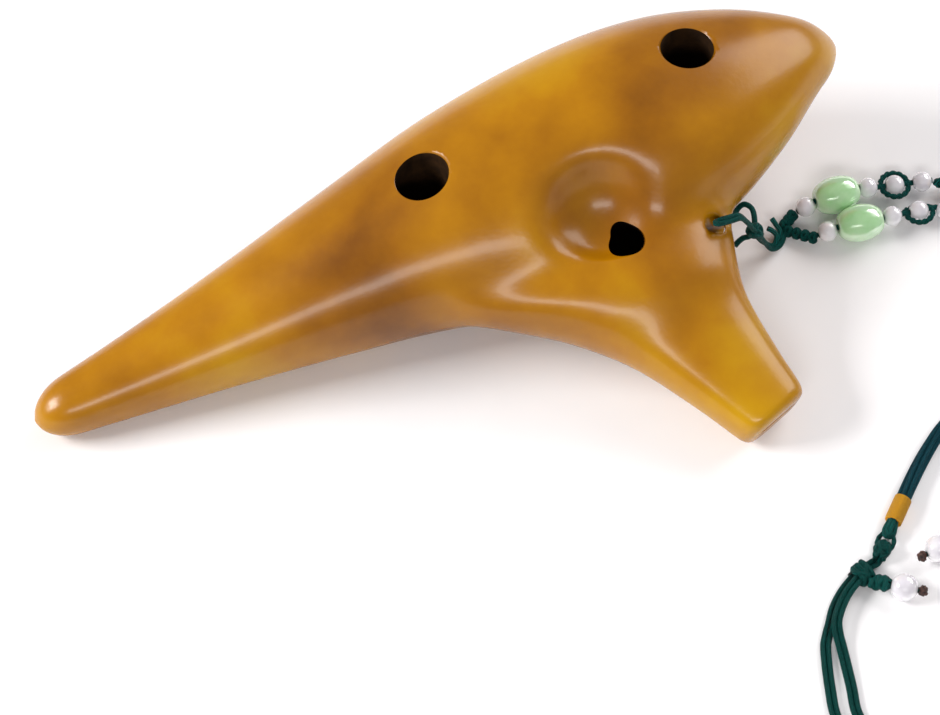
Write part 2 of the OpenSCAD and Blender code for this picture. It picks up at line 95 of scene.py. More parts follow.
def node(tree, kind, settings=None, **inputs):
    """Adds a node; inputs are sockets by name (spaces as underscores), given a value or a link."""
    made = tree.nodes.new("ShaderNode" + kind)
    for key, value in (settings or {}).items():
        setattr(made, key, value)
    for key, value in inputs.items():
        name = key.replace("_", " ")
        socket = made.inputs[int(key[1:])] if key[0] == "i" and key[1:].isdigit() else made.inputs[name]
        if isinstance(value, bpy.types.NodeSocket):
            tree.links.new(value, socket)
        else:
            socket.default_value = value
    return made


def ramp(tree, factor, stops):
    """A colour ramp over [place, hex] stops."""
    made = node(tree, "ValToRGB", Fac=factor)
    band = made.color_ramp
    while len(band.elements) < len(stops):
        band.elements.new(0.5)
    for element, (place, colour) in zip(band.elements, stops):
        element.position = place
        element.color = linear(colour)
    return made.outputs["Color"]


def material(name):
    """A fresh material with its tree and its shader."""
    made = bpy.data.materials.new(name)
    made.use_nodes = True
    tree = made.node_tree
    return made, tree, tree.nodes["Principled BSDF"]


def coloured(tree, shader, factor, stops):
    """Gives the shader its colour from a ramp over a factor."""
    tree.links.new(ramp(tree, factor, stops), shader.inputs["Base Color"])


def bumped(tree, shader, height, strength, depth):
    """Gives the shader a fine relief, depth in metres."""
    relief = node(tree, "Bump", Strength=strength, Distance=depth, Height=height)
    tree.links.new(relief.outputs["Normal"], shader.inputs["Normal"])


def heading(degrees, climb=0.0):
    """A direction in the table's plane, tipped up by climb degrees."""
    turned_by, up_by = math.radians(degrees), math.radians(climb)
    flat = math.cos(up_by)
    return Vector((flat * math.cos(turned_by), flat * math.sin(turned_by), math.sin(up_by)))


print("helpers ready")

# %% [markdown]
# The cord is polyester thread braided round a core, dyed a dark blue-green. The eye sees the slanted
# ribs of the braid and a soft sheen; the rib tops are coloured lighter as painted highlight and the
# gaps between them darker as painted shade. The pattern follows the tube: its map runs round and along the
# cord.

# %% Braided cord
def braided(name, dark, light, ribs, slant, sheen=0.0):
    """Slanted thread ribs on a tube, ribs per unit along it; the light colour is painted highlight on the
    ribs and the dark colour painted shade between them.
    """
    made, tree, shader = material(name)
    place = node(tree, "UVMap", {"uv_map": "along"})
    laid = node(tree, "Mapping", Vector=place.outputs["UV"])
    laid.inputs["Scale"].default_value = (1, ribs, 1)
    wave = node(tree, "TexWave", {"bands_direction": "DIAGONAL"},
                Vector=laid.outputs["Vector"], Scale=slant, Distortion=1.2, Detail=2.0)
    back_wave = node(tree, "TexWave", {"bands_direction": "Y"},
                     Vector=laid.outputs["Vector"], Scale=slant * 1.4, Distortion=2.0)
    both = node(tree, "Math", {"operation": "MULTIPLY"},
                i0=wave.outputs["Fac"], i1=back_wave.outputs["Fac"])
    # The ramp colours the rib tops light as painted highlight and the gaps between threads dark as painted
    # shade.
    coloured(tree, shader, both.outputs[0], [(0.05, dark), (0.5, light), (1.0, light)])
    bumped(tree, shader, both.outputs[0], 0.8, 0.00018)
    shader.inputs["Roughness"].default_value = 0.55
    shader.inputs["Sheen Weight"].default_value = sheen
    shader.inputs["Sheen Roughness"].default_value = 0.4
    shader.inputs["Specular IOR Level"].default_value = 0.12
    return made


# Each pair is the dye's own colour, darkened as painted shade in the gaps and lightened as painted highlight
# on the ribs.
teal_braid = braided("dyed polyester braid", "00100F", "0A7A72", 1.0, 0.8)
neck_braid = braided("neck cord braid", "001018", "0A6A7A", 1.0, 0.8)
gold_thread = braided("gold whipping thread", "D08800", "FFD040", 1.0, 1.6, 0.1)
print("cord materials", teal_braid.name, neck_braid.name, gold_thread.name)

# %% [markdown]
# A cord is a line with a thickness. Each strand is drawn as a curve with a round bevel and
# then turned into a mesh, because several strands that belong together are one piece.
# A smooth curve through the route's points keeps every bend round.

# %% Strands
def smooth(points, step=0.8):
    """A smooth line through millimetre points, with a point about every step."""
    points = [Vector(p) for p in points]
    ends = [2 * points[0] - points[1]] + points + [2 * points[-1] - points[-2]]
    line = []
    for a, b, c, d in zip(ends, ends[1:], ends[2:], ends[3:]):
        n = max(2, round((c - b).length / step))
        for k in range(n):
            t = k / n
            square, cube = 2 * a - 5 * b + 4 * c - d, 3 * b - a - 3 * c + d
            line.append(0.5 * (2 * b + (c - a) * t + square * t * t + cube * t ** 3))
    return line + [points[-1]]


def beside(line, across, over=0.0, twist=0.0):
    """A line moved sideways and upwards in millimetres, turned round its own run by twist per mm."""
    moved, run = [], 0.0
    for i, p in enumerate(line):
        ahead = (line[min(i + 1, len(line) - 1)] - line[max(i - 1, 0)]).normalized()
        flat = ahead.cross(Vector((0, 0, 1))).normalized()
        tall = flat.cross(ahead)
        if i:
            run += (p - line[i - 1]).length
        c, s = math.cos(twist * run), math.sin(twist * run)
        moved.append(p + flat * (across * c - over * s) + tall * (across * s + over * c))
    return moved


def strands(name, lines, radius, finish, closed=False, sides=2, origin=EYE_AT, flat_ends=True):
    """Round strands along millimetre lines, as one mesh piece."""
    curve = bpy.data.curves.new(name, "CURVE")
    curve.dimensions, curve.bevel_resolution, curve.use_fill_caps = "3D", sides, flat_ends
    curve.bevel_depth = 1.0 * MM
    for line in lines:
        spline = curve.splines.new("POLY")
        spline.points.add(len(line) - 1)
        spline.use_cyclic_u = closed
        for point, at in zip(spline.points, line):
            point.co = (*mm(at, origin), 1)
            point.radius = radius
    drawn = bpy.data.objects.new(name, curve)
    bpy.context.collection.objects.link(drawn)
    shape = bpy.data.meshes.new_from_object(drawn.evaluated_get(bpy.context.evaluated_depsgraph_get()))
    bpy.data.objects.remove(drawn)
    bpy.data.curves.remove(curve)
    shape.name = name
    shape.materials.clear()
    shape.materials.append(finish)
    shape.uv_layers[0].name = "along"
    longest = max(sum((b - a).length for a, b in zip(line, line[1:])) for line in lines)
    spread = [c.uv[:] for c in shape.uv_layers[0].data]
    u_max, v_max = max(u for u, _ in spread), max(v for _, v in spread)
    along_u = u_max > v_max + 1e-6
    for corner, (u, v) in zip(shape.uv_layers[0].data, spread):
        corner.uv = (v, u * longest) if along_u else (u, v * longest)
    shape.polygons.foreach_set("use_smooth", [True] * len(shape.polygons))
    piece = bpy.data.objects.new(name + DRESSED, shape)
    bpy.context.collection.objects.link(piece)
    return piece


def length_of(line):
    return sum((b - a).length for a, b in zip(line, line[1:])) * MM


print("strand helpers ready")

# %% [markdown]
# The two bead strings are stepped out from the hitch's knots, one stretch after another. A
# stretch is as long as what sits on it, and lies straight inside it. The first one climbs, so
# that the wide barrel after it clears the table.

# %% Stretches of the bead strings
BEAD_D, BARREL_D, BARREL_L, TAIL_BEAD_D = 4.2, 7.8, 9.5, 5.6
BEAD_RUN, BARREL_RUN, RING_RUN, BRAID_L, WHIP_L = BEAD_D + 0.2, BARREL_L + 0.2, 7.5, 3.0, 6.0
STRING_Z = 2.6
string_rise = math.degrees(math.asin((BARREL_D / 2 + 0.05 - STRING_Z) / BEAD_RUN))


def stepped(start, stretches):
    """Places reached from start by stretches of (length, heading, climb)."""
    places = [Vector(start)]
    for length, degrees, climb in stretches:
        places.append(places[-1] + heading(degrees, climb) * length)
    return places


A = stepped((23.7, 7.1, STRING_Z), [
    (BEAD_RUN, 0, string_rise), (BARREL_RUN, -6, 0), (BEAD_RUN, -12, -14), (RING_RUN, -14, -5),
    (BEAD_RUN, -16, -1), (BRAID_L, -45, -3), (WHIP_L, -50, 0)])
B = stepped((25.1, 0.05, STRING_Z), [
    (BEAD_RUN, -10, string_rise), (BARREL_RUN, -12, 0), (BEAD_RUN, -6, -8), (RING_RUN, -10, -4),
    (BEAD_RUN, -40, -9), (BRAID_L, -40, -5), (WHIP_L, -30, 0)])
print("string a ends at", [round(v, 2) for v in A[-1]], "string b at", [round(v, 2) for v in B[-1]])

# %% [markdown]
# Each neck cord is a bundle of seven thin cords. Part of it is put away in a small coil on
# the table, out of sight, and both ends are bound with gold thread. The bundle's strands lie
# side by side and turn slowly round each other.

# %% Neck cords
def arc(centre, radius, start, end, low, high, step=7.5):
    """A clockwise arc in the table's plane that climbs from low to high at the end of its first turn."""
    n = round((start - end) / step)
    line = []
    for k in range(n + 1):
        a = start - (start - end) * k / n
        over = min(1, max(0, (start - a - 300) / 60))
        c, s = math.cos(math.radians(a)), math.sin(math.radians(a))
        line.append((centre[0] + radius * c, centre[1] + radius * s, low + (high - low) * over))
    return line


LOW, HIGH = 1.6, 4.8
COIL_R = 17
A2_WHIP = [Vector((35, -79.2, 1.85)), Vector((39.2, -83.5, 1.85))]
B2_WHIP = [Vector((11.5, -62.9, 1.85)), Vector((7.2, -66.6, 1.85))]
neck_a_line = smooth(
    [A[7], A[7] + Vector((4, -3, -0.2)), (68, -6.5, LOW), (76, -7, LOW), (84, -8.5, LOW), (91, -13, LOW),
     (95.5, -20, LOW), (96.5, -28, LOW), (96.5, -36, LOW), (96, -44, LOW), (94.5, -52, LOW),
     (93.5, -60, LOW), (93, -66.5, LOW)]
    + arc((76, -72.5), COIL_R, 0, -450, LOW, HIGH)
    + [(69, -89.8, 4.5), (62, -90, 3.4), (55, -90, 2.2), (48.5, -88.6, LOW), A2_WHIP[1]], 1.6)
neck_b_line = smooth(
    [B[7], B[7] + Vector((4, -1.8, -0.2)), (69, -13.4, LOW)]
    + arc((74, -30.5), COIL_R, 90, -450, LOW, HIGH)
    + [(67, -47.8, 4.5), (60, -47.8, 3.4), (53, -47.5, 2.2), (46, -47.4, LOW), (39, -48, LOW),
       (32.5, -49.5, LOW), (26, -52, LOW), (20.4, -55.6, LOW), (15.3, -59.6, LOW), B2_WHIP[0]], 1.6)


def bundle(line, ring=1.02, radius=0.56, twist=0.045):
    """Seven strands: one in the middle and six round it."""
    lines = [line]
    for k in range(6):
        a = math.radians(60 * k)
        lines.append(beside(line, ring * math.cos(a), ring * math.sin(a), twist))
    return lines


neck_cord_a = strands("neck_cord_a", bundle(neck_a_line), 0.56, neck_braid)
neck_cord_b = strands("neck_cord_b", bundle(neck_b_line), 0.56, neck_braid)
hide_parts("neck_cord_a1", "neck_coil_a", "neck_cord_a2")
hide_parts("neck_cord_b1", "neck_coil_b", "neck_cord_b2")
for piece in (neck_cord_a, neck_cord_b):
    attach(piece, ROOT)
print("neck cords", round(length_of(neck_a_line), 3), round(length_of(neck_b_line), 3))

# %% [markdown]
# The two link cords close the lanyard. Each is a doubled thin cord that runs from its own
# button knot, side by side with the other, to the sliding knot tied round both. Inside the
# knots' travel the pairs ride one on the other, and between they lie flat on the table.

# %% Link cords
B_BUTTON, A_BUTTON = Vector((2.2, -71.4, 1.7)), Vector((30.6, -74.4, 1.7))
ARC_B, ARC_A = (1.9, -93.1, 19.7), (-0.1, -77.1, 22.0)


def on_arc(arc_of, degrees):
    """A place on an arc of (middle x, middle y, radius)."""
    return Vector((arc_of[0], arc_of[1], 0)) + heading(degrees) * arc_of[2]


run = [on_arc(ARC_B, a) for a in range(97, 164, 8)]
run += [Vector(p) for p in (
    (-19.3, -94.5, 0), (-21.2, -101, 0), (-20.6, -108, 0), (-16.0, -114.5, 0), (-7.8, -118, 0),
    (1.5, -116.5, 0), (8, -112, 0), (12.2, -105.5, 0), (15, -98.5, 0))]
run += [on_arc(ARC_A, a) for a in range(-38, 11, 8)]


def pair_point(i, outer):
    """Where a pair lies at place i of the run: one on the other near its ends, side by side between."""
    t = min(i, len(run) - 1 - i)
    spread = 0 if t < 7 else (t - 6) / 3 if t < 9 else 1
    ahead = (run[min(i + 1, len(run) - 1)] - run[max(i - 1, 0)]).normalized()
    side = Vector((ahead.y, -ahead.x, 0)) * (1 if outer else -1) * (0.6 + 1.5 * spread)
    climb = 0.35 if outer else 1.65
    return run[i] + side + Vector((0, 0, 0.6 + climb * (1 - spread)))


b_start = [B_BUTTON + Vector(p) for p in ((-0.4, -0.4, -0.6), (-2.2, -1.5, -0.9))]
a_end = [A_BUTTON + Vector(p) for p in ((-8.3, 3.8, 0.3), (-5.4, 4.8, 0), (-2.3, 3.2, 0), (-0.6, 0.7, 0))]
link_b_line = smooth(b_start + [pair_point(i, True) for i in range(len(run) - 1)], 1.0)
link_a_line = smooth([pair_point(i, False) for i in range(1, len(run))] + a_end, 1.0)
link_a_line.reverse()


def doubled(name, line, apart):
    """Two thin cords side by side."""
    return strands(name, [beside(line, apart), beside(line, -apart)], 0.56, teal_braid)


link_cord_a = doubled("link_cord_a", link_a_line, 0.56)
link_cord_b = doubled("link_cord_b", link_b_line, 0.56)
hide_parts("link_cord_a")
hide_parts("link_cord_b")
print("link cords", round(length_of(link_a_line), 3), round(length_of(link_b_line), 3))

# %% [markdown]
# At the ocarina the doubled cord goes down into the eye, over the bridge of clay and down
# to the table, where it is knotted off. A loop of the same cord locks it, as in a lark's head.
# Two thin strings leave the knots and carry the beads.

# %% Hitch and bead strings
EYE_THROUGH = Vector((9.5, 3.5, -13.5))
eye_run = EYE_THROUGH.normalized()
eye_lip = Vector((0, 0, 26.04))
eye_side = eye_lip + EYE_THROUGH
hitch_line = smooth(
    [eye_lip + 6 * eye_run, eye_lip + Vector((-0.2, -1.3, 0.4)), (2.1, -2.2, 27.4), (4.6, -1.9, 26.2),
     (6.9, -1.3, 21.5), (9.2, -0.9, 16), (11.4, 0.5, 10), (13.6, 1.8, 4.6), (15.4, 1.9, 1.9),
     (17.3, 2.6, 1.3), (19.0, 4.4, 1.3), (19.8, 5.6, 1.3)], 0.7)
loop_line = smooth(
    [eye_side + Vector((-2.2, 1.5, 2.4)), (9.2, 6.6, 14.6), (10.4, 6.3, 15.6), (11.2, 4.6, 15.8),
     (10.6, 2.2, 15.6), (9.5, 0.4, 15.2), (8.2, -0.4, 14.4), (7.2, 0.4, 13.2), (6.0, 0.4, 12.4),
     eye_side + Vector((-4.4, -3.4, -0.6))], 0.5)
hitch = doubled("hitch_cord", hitch_line, 0.5)
lock = strands("hitch_loop", [loop_line], 0.6, teal_braid)
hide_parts("hitch_cord")
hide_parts("hitch_loop")
ends = [smooth(points, 0.5) for points in (
    [(17.2, 3.2, 1.3), (18.6, 4.6, 1.9), (18.5, 6.2, 2.3), (18.2, 7.8, 2.9)],
    [(16.4, 2.6, 1.3), (17.4, 3.9, 2.2), (16.9, 5.2, 2.8), (16.2, 5.8, 3.2)])]
spare = strands("hitch_ends", ends, 0.55, teal_braid)
string_a = strands("bead_string_a", [A[:6]], 0.6, teal_braid)
string_b = strands("bead_string_b", [B[:6]], 0.6, teal_braid)
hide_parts("bead_string_a")
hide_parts("bead_string_b")
print("hitch", round(length_of(hitch_line), 4), "strings", round(length_of(A[:6]), 4))

# %% [markdown]
# Woven knots are one thread that crosses over and under itself. A Turk's head is the plain
# mathematics of it: the thread goes round its ball several times while it swings from end to
# end, and rises and dips at each crossing. A solid core inside keeps light from passing through.

# %% Woven knots
def frame_of(a, b):
    """Middle, run, and two directions across it, for millimetre points a and b."""
    ahead = (b - a).normalized()
    flat = ahead.cross(Vector((0, 0, 1)) if abs(ahead.z) < 0.99 else Vector((0, 1, 0))).normalized()
    return (a + b) / 2, ahead, flat, flat.cross(ahead)


def turks_head(a, b, radius, leads, bights, thread, barrel=0.0):
    """A closed thread round the run from a to b; barrel 0 is a ball and 1 a straight sleeve."""
    middle, ahead, flat, tall = frame_of(a, b)
    half, line, n = (b - a).length / 2 - thread, [], 48 * leads
    for k in range(n):
        t = 2 * math.pi * k / n
        z = half * math.sin(bights * t)
        swell = math.sqrt(max(0.05, 1 - (1 - barrel) * (z / (half + thread)) ** 2))
        r = (radius - thread) * swell + 0.35 * thread * math.cos(leads * bights * t + 0.7)
        line.append(middle + ahead * z + flat * r * math.cos(leads * t) + tall * r * math.sin(leads * t))
    return line


def helix(a, b, wide, tall_r, pitch, points=18):
    """A thread wound from a to b round an oval."""
    _, ahead, flat, tall = frame_of(a, b)
    line = []
    for k in range(int((b - a).length / pitch * points) + 1):
        t = 2 * math.pi * k / points
        round_it = flat * wide * math.cos(t) + tall * tall_r * math.sin(t)
        line.append(a + ahead * (pitch * k / points) + round_it)
    return line


def sinnet(a, b, radius, pitch, thread):
    """Four threads plaited round: two turn one way and two the other."""
    _, ahead, flat, tall = frame_of(a, b)
    run_mm, lines = (b - a).length, []
    for k in range(4):
        way, line = (1, -1)[k % 2], []
        for j in range(int(run_mm * 6) + 1):
            z = min(run_mm, j / 6)
            t = way * 2 * math.pi * z / pitch + k * math.pi / 2
            r = radius - thread + 0.3 * thread * math.cos(2 * t + k)
            line.append(a + ahead * z + flat * r * math.cos(t) + tall * r * math.sin(t))
        lines.append(line)
    return lines


def joined(name, pieces):
    """Several mesh pieces as one."""
    bpy.ops.object.select_all(action="DESELECT")
    for piece in pieces:
        piece.select_set(True)
    bpy.context.view_layer.objects.active = pieces[0]
    bpy.ops.object.join()
    pieces[0].name = pieces[0].data.name = name + DRESSED
    pieces[0].select_set(False)
    return pieces[0]


def knot_piece(name, threads, core, core_r):
    """Closed threads round a core, in place of the solid of the same name."""
    wound = strands(name, threads, 0.42, teal_braid, closed=True)
    inside = strands(name + "_core", [core], core_r, teal_braid)
    made = joined(name, [wound, inside])
    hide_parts(name)
    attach(made, ROOT)
    return made


SNAKE_R = 1.1
snakes = []
for s, p, start, degrees, n in (("a", A, (20.5, 6.2, 1.4), 0, 3), ("b", B, (20.4, 4.3, 1.4), -10, 4)):
    start, end = Vector(start), p[0] - heading(degrees, string_rise) * SNAKE_R
    ahead = (end - start).normalized()
    lobes = [start + (end - start) * (k / (n - 1)) for k in range(n)]
    threads = [turks_head(lobe - ahead, lobe + ahead, 1.3, 2, 3, 0.44) for lobe in lobes]
    snakes.append(knot_piece("snake_knots_" + s, threads, [start, end], 0.6))
hitch_knot = turks_head(Vector((8.2, -1.1, 18.2)), Vector((10.4, -0.3, 13.4)), 1.75, 2, 3, 0.56)
tie = strands("hitch_knot", [hitch_knot], 0.56, teal_braid, closed=True)
print("snake knots", len(snakes))

# %% [markdown]
# Gold whippings: thread wound round the cord's end, each turn touching the last. A helix
# drawn at the thread's own pitch gives the ribbed silk look, with a slight flat sheen.

# %% Whippings, end braids and rings
def whipping(name, a, b):
    """Gold thread wound from a to b over a core of the same silk."""
    wound = strands(name, [helix(a, b, 1.68, 1.68, 0.3)], 0.17, gold_thread, sides=1)
    filled = strands(name + "_core", [[a, b]], 1.7, gold_thread, sides=4)
    made = joined(name, [wound, filled])
    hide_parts(name)
    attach(made, ROOT)
    return made


whips = [whipping("whipping_a1", A[6], A[7]), whipping("whipping_a2", *A2_WHIP),
         whipping("whipping_b1", B[6], B[7]), whipping("whipping_b2", *B2_WHIP)]
for name, p in (("end_braid_a", A), ("end_braid_b", B)):
    start = p[5] + (p[6] - p[5]).normalized() * 0.7
    made = strands(name, sinnet(start, p[6], 1.1, 2.6, 0.5), 0.5, teal_braid)
    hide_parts(name)
    whips.append(made)


def ring_line(p, far, drop):
    """The cord ring round a string's ring bead; its far side may be nearer, and sag by drop."""
    middle, ahead = (p[3] + p[4]) / 2, (p[4] - p[3]).normalized()
    out, line = Vector((-ahead.y, ahead.x, 0)), []
    for k in range(60):
        c, s = math.cos(2 * math.pi * k / 60), math.sin(2 * math.pi * k / 60)
        wide = far if s > 0 else RING_R
        line.append(middle + ahead * RING_R * c + out * wide * s - Vector((0, 0, drop * max(0, s))))
    return line


def twisted_pair(line, apart, turns):
    """Two closed threads that turn round each other along a closed line."""
    pair = []
    for way in (0, math.pi):
        out = []
        for i, p in enumerate(line):
            ahead = (line[(i + 1) % len(line)] - line[i - 1]).normalized()
            flat = ahead.cross(Vector((0, 0, 1))).normalized()
            a = way + 2 * math.pi * turns * i / len(line)
            out.append(p + flat * apart * math.cos(a) + flat.cross(ahead) * apart * math.sin(a))
        pair.append(out)
    return pair


RING_R = 2.95
rings = []
for name, p, far, drop in (("cord_ring_a", A, RING_R, 0.0), ("cord_ring_b", B, 2.3, 2.2)):
    made = strands(name, twisted_pair(ring_line(p, far, drop), 0.26, 7), 0.38, teal_braid, closed=True)
    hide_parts(name)
    rings.append(made)
print("whippings, braids and rings", len(whips) + len(rings))

# %% [markdown]
# The clasp: each neck cord's end is folded back on itself, a small ring of cord hangs from
# the fold, and a round button knot holds the link cord. The sliding knots are wound round the
# link cords, and each has a plaited tail with a bead and a knot burnt shut.

# %% Clasp
buttons, folds = [], []
for s, fold_from, fold_to, button in (("a", A2_WHIP[0], (-0.7, 0.72, 0), A_BUTTON),
                                      ("b", B2_WHIP[1], (-0.62, -0.6, 0), B_BUTTON)):
    tip = fold_from + Vector(fold_to).normalized() * 2.4
    ahead = (tip - fold_from).normalized()
    aside, folded = ahead.cross(Vector((0, 0, 1))), []
    for w, h in ((0.95, 0.45), (0.32, 0.95), (-0.32, 0.95), (-0.95, 0.45)):
        over, brow = Vector((0, 0, h)), tip + ahead * 0.4 + aside * w
        foot = fold_from + aside * w * 0.7
        bight = tip + ahead * 1.3 + over * 0.3
        folded.append(smooth([foot + over, brow + over, bight, brow - over, foot - over], 0.4))
    made = strands("folded_end_" + s, folded, 0.52, teal_braid)
    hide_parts("folded_end_" + s)
    folds.append(made)
    middle = (tip + button) / 2
    radius, reach, hoop = (tip.xy - button.xy).length / 2, (button - tip).xy.normalized(), []
    across = reach.orthogonal()
    for k in range(40):
        c, s_k = math.cos(math.pi * k / 20), math.sin(math.pi * k / 20)
        at = middle.xy + reach * radius * c + across * 0.72 * radius * s_k
        hoop.append(at.to_3d() + Vector((0, 0, 1.2)))
    made = strands("link_loop_" + s, twisted_pair(hoop, 0.1, 5), 0.42, teal_braid, closed=True)
    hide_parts("link_loop_" + s)
    folds.append(made)
    away = (button - tip).normalized()
    threads = [turks_head(button - away * 2.15, button + away * 2.15, 1.85, 3, 5, 0.44),
               turks_head(button - away * 1.4, button + away * 1.4, 1.75, 4, 3, 0.42)]
    core = [button - away * 0.9, button + away * 0.9]
    buttons.append(knot_piece("button_knot_" + s, threads, core, 1.2))

TAIL = {"a": (Vector((19.5, -76.8, 1.8)), Vector((12.2, -76.4, 2.8)), heading(182)),
        "b": (Vector((-2.95, -76.8, 1.8)), Vector((1.9, -81.3, 2.8)), heading(-38))}
KNOT_Z = Vector((0, 0, 1.7))
slides, tails = [], []
for s, arc_of, at in (("a", ARC_A, 0), ("b", ARC_B, 107)):
    a, b = on_arc(arc_of, at - 6) + KNOT_Z, on_arc(arc_of, at + 6) + KNOT_Z
    middle, ahead, flat, tall = frame_of(a, b)
    sleeve = helix(a + ahead * 0.5, b - ahead * 0.3, 2.05, 1.12, 1.12, 28)
    cross = []
    for p in turks_head(middle - ahead * 1.9, middle + ahead * 1.9, 2.0, 2, 3, 0.55, 1.0):
        v = p - middle
        pressed = v.dot(flat) * flat * 1.32 + v.dot(tall) * tall * 0.82
        cross.append(middle + v.dot(ahead) * ahead + pressed)
    wound = strands("sliding_knot_" + s, [sleeve], 0.55, teal_braid)
    crossed = strands("sliding_cross_" + s, [cross], 0.5, teal_braid, closed=True)
    made = joined("sliding_knot_" + s, [wound, crossed])
    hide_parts("sliding_knot_" + s)
    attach(made, "knot_" + s)
    slides.append(made)
    start, bead, d = TAIL[s]
    shoulder = bead - d * (TAIL_BEAD_D / 2 + 0.15)
    plaited = sinnet(start, shoulder, 1.62, 3.0, 0.6) + sinnet(start, shoulder, 1.15, 2.4, 0.6)
    plait = strands("tail_braid_" + s, plaited + [[shoulder - d, bead + d * 3.3]], 0.6, teal_braid)
    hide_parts("tail_braid_" + s)
    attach(plait, "knot_" + s)
    tails.append(plait)
print("clasp pieces", len(buttons) + len(folds) + len(slides) + len(tails))

# %% [markdown]
# A knot whose ends were melted with a flame: a small dark brown lump, uneven all over.
# A ball of many faces pushed in and out at random, then rounded a little, gives it.

# %% Burnt knots
burnt, tree, shader = material("melted cord end")
spots = node(tree, "TexNoise", Vector=node(tree, "TexCoord").outputs["Object"], Scale=1800.0, Detail=4.0)
coloured(tree, shader, spots.outputs["Fac"], [(0.35, "1C100C"), (0.6, "4A2A1E"), (0.8, "7A5040")])
bumped(tree, shader, spots.outputs["Fac"], 0.6, 0.0002)
shader.inputs["Roughness"].default_value = 0.6
for s in "ab":
    _, bead, d = TAIL[s]
    bm = bmesh.new()
    bmesh.ops.create_icosphere(bm, subdivisions=3, radius=1.0)
    for v in bm.verts:
        v.co *= 1 + random.uniform(-0.22, 0.22)
    bmesh.ops.smooth_vert(bm, verts=bm.verts, factor=0.35)
    for v in bm.verts:
        v.co = mm(bead + d * 3.75 + Vector((v.co.x * 0.95, v.co.y * 0.95, v.co.z * 1.35)))
    shape = bpy.data.meshes.new("burnt_knot_" + s)
    bm.to_mesh(shape)
    bm.free()
    shape.materials.append(burnt)
    shape.polygons.foreach_set("use_smooth", [True] * len(shape.polygons))
    lump = bpy.data.objects.new("burnt_knot_" + s + DRESSED, shape)
    bpy.context.collection.objects.link(lump)
    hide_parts("burnt_knot_" + s)
    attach(lump, "knot_" + s)
print("burnt knots 2")

# %% [markdown]
# The beads are glass made to look like white jade and green jade. Light goes into them and
# spreads, so they glow softly at the edges and show two small window lights on top. A profile
# spun round the cord's line makes each bead with its bore.

# %% Bead glass
def bead_glass(name, body_hex, cloud_hex, spread, through):
    """Clouded glass: colour from soft noise, light carried under the surface."""
    made, tree, shader = material(name)
    place = node(tree, "TexCoord").outputs["Object"]
    cloud = node(tree, "TexNoise", Vector=place, Scale=260.0, Detail=3.0, Roughness=0.6)
    coloured(tree, shader, cloud.outputs["Fac"], [(0.3, body_hex), (0.7, cloud_hex)])
    shader.inputs["Roughness"].default_value = 0.08
    shader.inputs["IOR"].default_value = 1.52
    shader.inputs["Subsurface Weight"].default_value = spread
    shader.inputs["Subsurface Radius"].default_value = (1.0, 1.0, 1.0)
    shader.inputs["Subsurface Scale"].default_value = 0.0015
    shader.inputs["Transmission Weight"].default_value = through
    return made


milky = bead_glass("milk glass", "E4E0E8", "F3F1F5", 0.6, 0.28)
jade = bead_glass("green jade glass", "B2E4AA", "CDF0C4", 0.6, 0.3)


def spun(name, a, b, outline, finish):
    """Spins an outline of (radius, run) millimetres round the line from a to b; it turns on its own body."""
    middle, ahead, flat, tall = frame_of(a, b)
    turn_to = Matrix((flat, tall, ahead)).transposed()
    bm = bmesh.new()
    made = [bm.verts.new((r, 0, z)) for r, z in outline]
    edges = [bm.edges.new(pair) for pair in zip(made, made[1:] + made[:1])]
    bmesh.ops.spin(bm, geom=made + edges, cent=(0, 0, 0), axis=(0, 0, 1), angle=2 * math.pi,
                   steps=48, use_merge=True, use_duplicate=False)
    bmesh.ops.remove_doubles(bm, verts=bm.verts, dist=1e-5)
    bmesh.ops.recalc_face_normals(bm, faces=bm.faces)
    for v in bm.verts:
        v.co = mm(middle + turn_to @ v.co)
    shape = bpy.data.meshes.new(name)
    bm.to_mesh(shape)
    bm.free()
    shape.materials.append(finish)
    shape.polygons.foreach_set("use_smooth", [True] * len(shape.polygons))
    bead = bpy.data.objects.new(name + DRESSED, shape)
    bpy.context.collection.objects.link(bead)
    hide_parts(name)
    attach(bead, name)
    return bead


BORE_R, BARREL_END_R = 0.68, 1.638


def ball_outline(radius, n=24):
    """A ball with a bore along its axis."""
    first, outline = math.asin(BORE_R / radius), []
    for k in range(n + 1):
        t = first + (math.pi - 2 * first) * k / n
        outline.append((radius * math.sin(t), -radius * math.cos(t)))
    return outline


def barrel_outline(n=30):
    """A barrel with narrow flat ends and a bore along its axis."""
    swell, half, bulge = BARREL_D / 2 - BARREL_END_R, BARREL_L / 2, []
    for k in range(n + 1):
        t = math.pi / 2 * (-1 + 2 * k / n)
        bulge.append((BARREL_END_R + swell * math.cos(t) ** 1.2, half * math.sin(t)))
    return [(BORE_R, -half)] + bulge + [(BORE_R, half)]


beads = {"a": [], "b": []}
for s, p in (("a", A), ("b", B)):
    for i, j in ((1, 0), (2, 2), (3, 3), (4, 4)):
        name = f"white_bead_{s}{i}"
        beads[s].append(spun(name, p[j], p[j + 1], ball_outline(BEAD_D / 2), milky))
    beads[s].append(spun("jade_barrel_" + s, p[1], p[2], barrel_outline(), jade))
    _, bead, d = TAIL[s]
    spun("tail_bead_" + s, bead, bead + d * 0.001, ball_outline(TAIL_BEAD_D / 2), milky)
print("beads", len(beads["a"]) + len(beads["b"]) + 2)

# %% [markdown]
# Everything on the lanyard that does not turn or slide rides with the ocarina.

# %% Riders and cords
for piece in (hitch, lock, spare, tie, string_a, string_b, link_cord_a, link_cord_b, *whips, *rings, *folds):
    if "whipping" not in piece.name:
        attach(piece, ROOT)


# %% [markdown]
# The body is slip-joined clay: two hollow halves and a mouthpiece, smoothed into one skin
# before firing. Cross sections along the length give its shape, as ribs give a boat's hull.
# The same keys as the solid's are used, so the skin lies where the solid lies.

# %% Section keys of the clay
BODY_L, BODY_W, BODY_H, WALL = 180.0, 49.0, 42.0, 4.5
